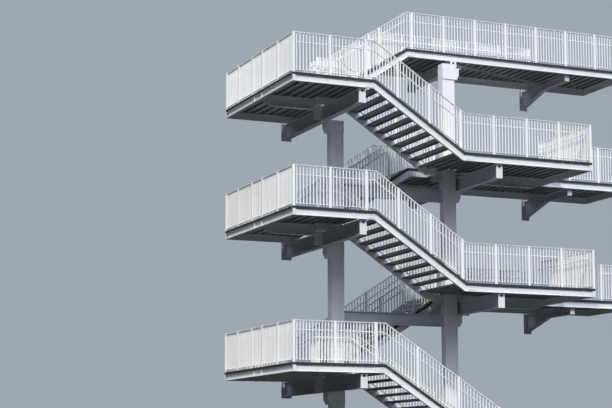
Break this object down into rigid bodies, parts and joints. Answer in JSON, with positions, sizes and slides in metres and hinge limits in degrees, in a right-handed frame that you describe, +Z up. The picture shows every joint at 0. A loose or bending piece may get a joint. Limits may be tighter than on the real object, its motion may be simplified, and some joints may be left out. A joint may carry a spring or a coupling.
{
  "type": "outdoor stair tower",
  "caption": "Outdoor steel escape stair: switchback flights and landings on box columns, with walkways and railings, tied back to a wall.",
  "frame": {"origin": "on the ground, centre of the underside of the left column's base plate", "axes": "+X along the wall to the right, +Y towards the wall, +Z up"},
  "size_m": [12.24, 5.4, 14.9783],
  "materials": {
    "structure": "satin light grey paint",
    "edge_channel": "satin light grey paint",
    "deck_pan": "galvanised sheet",
    "railing": "satin light grey paint"
  },
  "bodies": {
    "root": {"column_left": "structure", "column_right": "structure", "support_beams": "structure", "landing_frame_1": "edge_channel", "landing_deck_1": "deck_pan", "stringers_1": "edge_channel", "treads_1": "deck_pan", "flight_railing_1": "railing", "landing_railing_1": "railing", "landing_frame_2": "edge_channel", "landing_deck_2": "deck_pan", "stringers_2": "edge_channel", "treads_2": "deck_pan", "flight_railing_2": "railing", "landing_railing_2": "railing", "landing_frame_3": "edge_channel", "landing_deck_3": "deck_pan", "stringers_3": "edge_channel", "treads_3": "deck_pan", "flight_railing_3": "railing", "landing_railing_3": "railing", "landing_frame_4": "edge_channel", "landing_deck_4": "deck_pan", "stringers_4": "edge_channel", "treads_4": "deck_pan", "flight_railing_4": "railing", "landing_railing_4": "railing", "landing_frame_5": "edge_channel", "landing_deck_5": "deck_pan", "stringers_5": "edge_channel", "treads_5": "deck_pan", "flight_railing_5": "railing", "landing_railing_5": "railing", "landing_frame_6": "edge_channel", "landing_deck_6": "deck_pan", "stringers_6": "edge_channel", "treads_6": "deck_pan", "flight_railing_6": "railing", "landing_railing_6": "railing", "landing_frame_7": "edge_channel", "landing_deck_7": "deck_pan", "stringers_7": "edge_channel", "treads_7": "deck_pan", "flight_railing_7": "railing", "landing_railing_7": "railing"}
  },
  "joints": []
}
